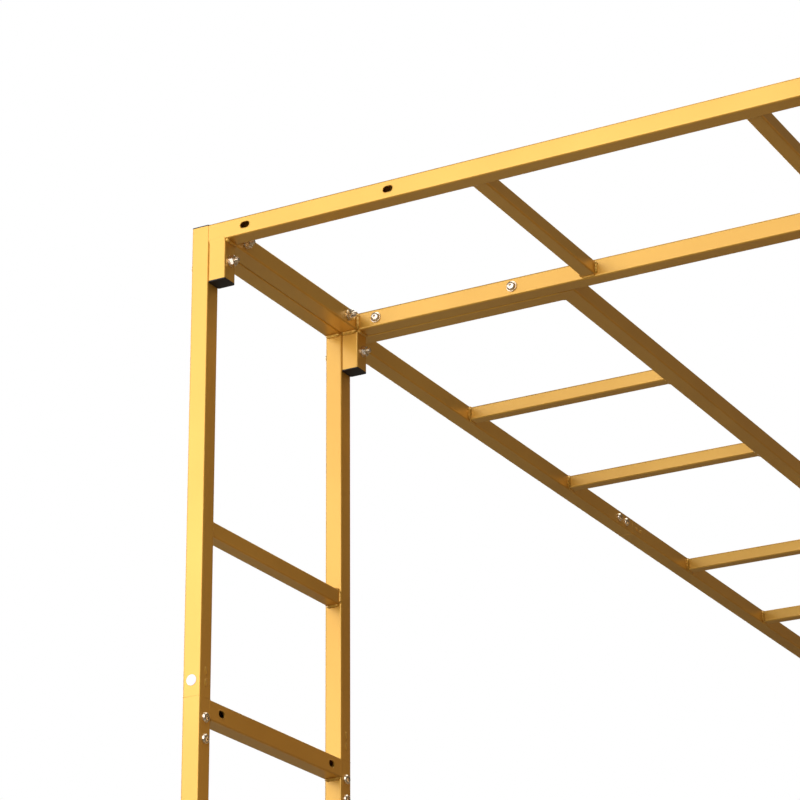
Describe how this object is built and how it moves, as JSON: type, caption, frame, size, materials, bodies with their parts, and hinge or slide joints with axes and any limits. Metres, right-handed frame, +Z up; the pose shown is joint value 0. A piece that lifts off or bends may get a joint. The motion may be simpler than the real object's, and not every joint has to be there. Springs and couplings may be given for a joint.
{
  "type": "four poster canopy bed frame",
  "caption": "Four poster canopy bed frame in gold square tube: ladder-shaped corner posts carry a ring of flat ladder panels; slatted platform and spindle headboard below.",
  "frame": {"origin": "centre of the bed's footprint, on the floor under the foot plugs", "axes": "+X to the right seen from the foot end, +Y from the foot end to the head end along the bed's length, +Z up"},
  "size_m": [1.595, 2.065, 2],
  "materials": {
    "gold_paint": "semi-gloss metallic gold paint",
    "plated_steel": "bright zinc plating",
    "insert_steel": "bare drawn steel",
    "black_plastic": "moulded, fine texture",
    "label_paper": "matt white vinyl"
  },
  "bodies": {
    "root": {"foot_left_leg_top": "gold_paint", "foot_left_leg_middle": "gold_paint", "foot_left_leg_bottom": "gold_paint", "foot_right_leg_top": "gold_paint", "foot_right_leg_middle": "gold_paint", "foot_right_leg_bottom": "gold_paint", "head_left_leg_top": "gold_paint", "head_left_leg_middle": "gold_paint", "head_left_leg_bottom": "gold_paint", "head_right_leg_top": "gold_paint", "head_right_leg_middle": "gold_paint", "head_right_leg_bottom": "gold_paint", "canopy_foot_panel_left": "gold_paint", "canopy_foot_panel_right": "gold_paint", "canopy_head_panel_left": "gold_paint", "canopy_head_panel_right": "gold_paint", "canopy_left_panel_foot": "gold_paint", "canopy_left_panel_head": "gold_paint", "canopy_right_panel_foot": "gold_paint", "canopy_right_panel_head": "gold_paint", "leg_splice_inserts": "insert_steel", "canopy_end_splice_inserts": "insert_steel", "canopy_side_splice_inserts": "insert_steel", "leg_splice_bolts": "plated_steel", "leg_splice_nuts": "plated_steel", "canopy_splice_bolts": "plated_steel", "canopy_splice_nuts": "plated_steel", "canopy_bolts": "plated_steel", "canopy_washers": "plated_steel", "canopy_nuts": "plated_steel", "post_top_plugs": "black_plastic", "stub_plugs": "black_plastic", "foot_plugs": "black_plastic", "round_label": "label_paper", "left_side_rail_foot": "gold_paint", "left_side_rail_head": "gold_paint", "right_side_rail_foot": "gold_paint", "right_side_rail_head": "gold_paint", "foot_rail_left": "gold_paint", "foot_rail_right": "gold_paint", "head_rail_left": "gold_paint", "head_rail_right": "gold_paint", "centre_beam_foot": "gold_paint", "centre_beam_head": "gold_paint", "platform_splice_inserts": "insert_steel", "centre_legs": "gold_paint", "centre_leg_plugs": "black_plastic", "left_slats": "gold_paint", "right_slats": "gold_paint", "slat_screws": "plated_steel", "platform_bolts": "plated_steel", "platform_washers": "plated_steel", "platform_nuts": "plated_steel", "headboard_left": "gold_paint", "headboard_right": "gold_paint", "headboard_splice_inserts": "insert_steel"}
  },
  "joints": []
}
